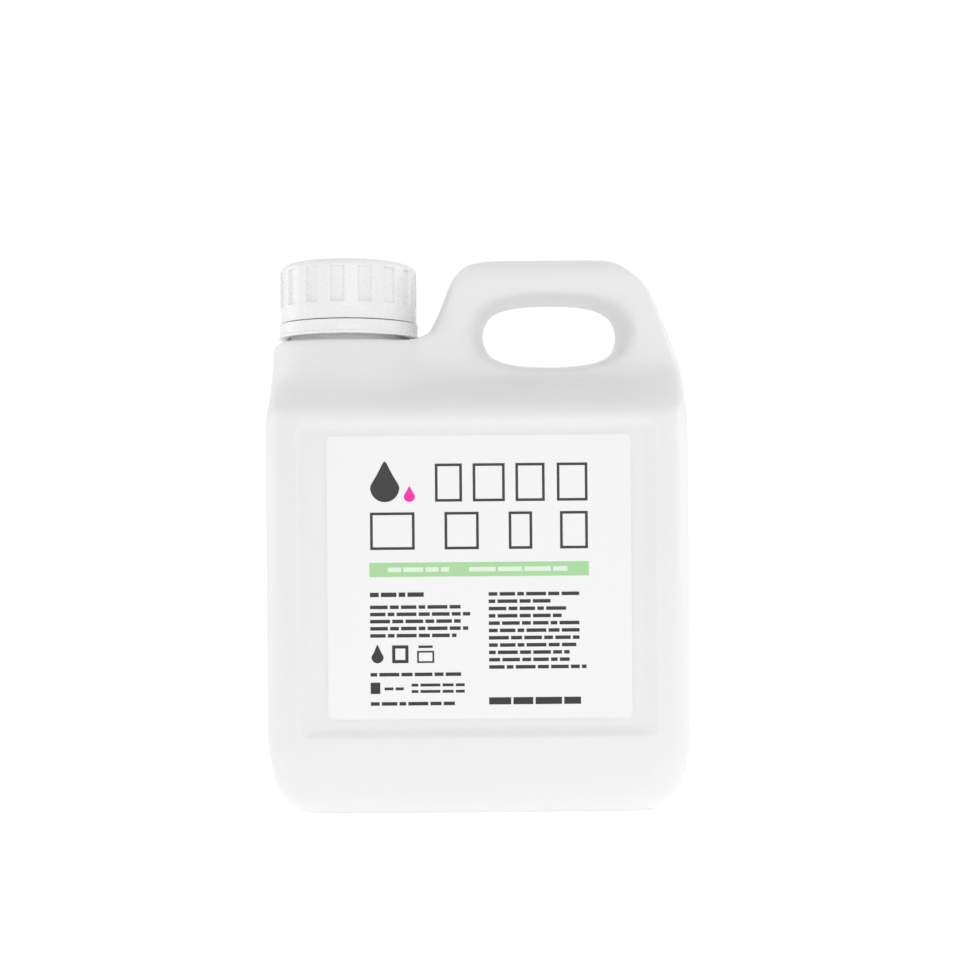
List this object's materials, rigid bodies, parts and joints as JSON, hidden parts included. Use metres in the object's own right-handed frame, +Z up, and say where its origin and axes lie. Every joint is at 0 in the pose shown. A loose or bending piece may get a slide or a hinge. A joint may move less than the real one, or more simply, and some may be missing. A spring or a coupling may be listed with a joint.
{
  "type": "hand soap refill pack",
  "caption": "Blow-moulded jerrycan of liquid hand soap with a built-in handle, a ribbed tamper-evident screw cap and a plain front label.",
  "frame": {"origin": "under the middle of the base, on the surface it stands on", "axes": "+Z up; -Y out of the front label; +X from the cap side towards the handle side"},
  "size_m": [0.1236, 0.076, 0.1613],
  "materials": {
    "natural_hdpe": "natural blow-moulded HDPE, milky and slightly translucent, soft gloss",
    "cap_plastic": "white injection-moulded polypropylene, opaque, glossy",
    "liner_foam": "white expanded polyethylene sealing disc",
    "label_film": null,
    "liquid": "clear to pearly liquid soap"
  },
  "bodies": {
    "jerrycan": {"bottle": "natural_hdpe", "tamper_band": "cap_plastic", "front_label": "label_film", "liquid_soap": "liquid"},
    "cap_seal": {"cap_liner": "liner_foam"},
    "cap": {"screw_cap": "cap_plastic"}
  },
  "joints": [
    {"name": "cap_lift", "type": "slide", "parent": "jerrycan", "child": "cap_seal", "axis": [0, 0, 1], "range_m": [0, 0.0063]},
    {"name": "cap_turn", "type": "hinge", "parent": "cap_seal", "child": "cap", "pos_m": [-0.0391, 0, 0.15], "axis": [0, 0, 1], "range_deg": [0, 540]}
  ],
  "couplings": [
    {"joint": "cap_lift", "follows": "cap_turn", "m_per_rad": 0.00066845}
  ]
}
